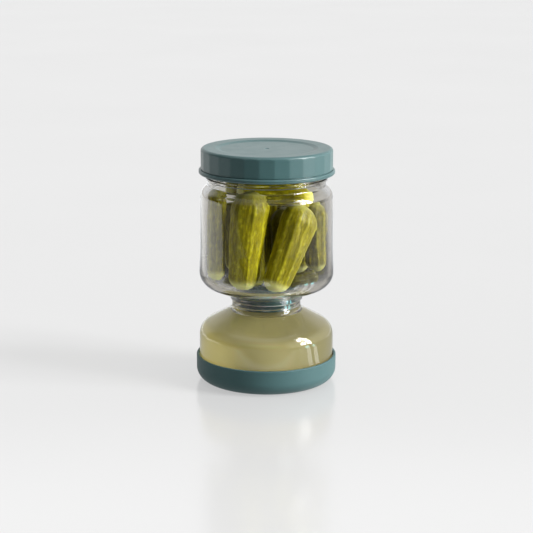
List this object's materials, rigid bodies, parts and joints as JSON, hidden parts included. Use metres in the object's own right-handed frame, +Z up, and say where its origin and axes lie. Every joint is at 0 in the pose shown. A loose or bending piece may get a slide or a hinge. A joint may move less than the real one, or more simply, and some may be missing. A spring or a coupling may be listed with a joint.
{
  "type": "hourglass pickle jar",
  "caption": "Hourglass flip jar: glass upper jar of gherkins screwed through a strainer onto a smaller brine jar, with a faceted screw lid and a silicone base boot.",
  "frame": {"origin": "centre of the boot's flat bottom, on the surface that the jar stands on", "axes": "+Z up along the jar's axis, from the boot to the lid; -Y to the front, where one lid facet faces"},
  "size_m": [0.107, 0.107, 0.1795],
  "materials": {
    "boot": "matte",
    "jar_glass": "polished",
    "brine": "gloss",
    "coupler": "gloss",
    "seal": "satin",
    "gherkin": "satin",
    "lid": "satin"
  },
  "bodies": {
    "base": {"base_boot": "boot"},
    "lower": {"lower_jar": "jar_glass", "brine": "brine"},
    "waist_ring": {"neck_seal": "seal"},
    "upper": {"upper_jar": "jar_glass", "strainer_coupler": "coupler", "strainer_disc": "coupler", "gherkin_front_left": "gherkin", "gherkin_front_right": "gherkin", "gherkin_right": "gherkin", "gherkin_left": "gherkin", "gherkin_low_right": "gherkin", "gherkin_back_left": "gherkin", "gherkin_back": "gherkin", "gherkin_back_right": "gherkin", "gherkin_middle_left": "gherkin", "gherkin_middle_right": "gherkin", "gherkin_top": "gherkin", "gherkin_top_back": "gherkin"},
    "gasket": {"lid_gasket": "seal"},
    "cap": {"lid": "lid"}
  },
  "joints": [
    {"name": "boot_pull", "type": "slide", "parent": "base", "child": "lower", "axis": [0, 0, 1], "range_m": [0, 0.024]},
    {"name": "waist_lift", "type": "slide", "parent": "lower", "child": "waist_ring", "axis": [0, 0, 1], "range_m": [0, 0.0076]},
    {"name": "waist_turn", "type": "hinge", "parent": "waist_ring", "child": "upper", "pos_m": [0, 0, 0.0631], "axis": [0, 0, 1], "range_deg": [0, 900]},
    {"name": "lid_lift", "type": "slide", "parent": "upper", "child": "gasket", "axis": [0, 0, 1], "range_m": [0, 0.0151]},
    {"name": "lid_turn", "type": "hinge", "parent": "gasket", "child": "cap", "pos_m": [0, 0, 0.176], "axis": [0, 0, 1], "range_deg": [0, 1080]}
  ],
  "couplings": [
    {"joint": "waist_lift", "follows": "waist_turn", "m_per_rad": 0.00047746},
    {"joint": "lid_lift", "follows": "lid_turn", "m_per_rad": 0.00079577}
  ]
}
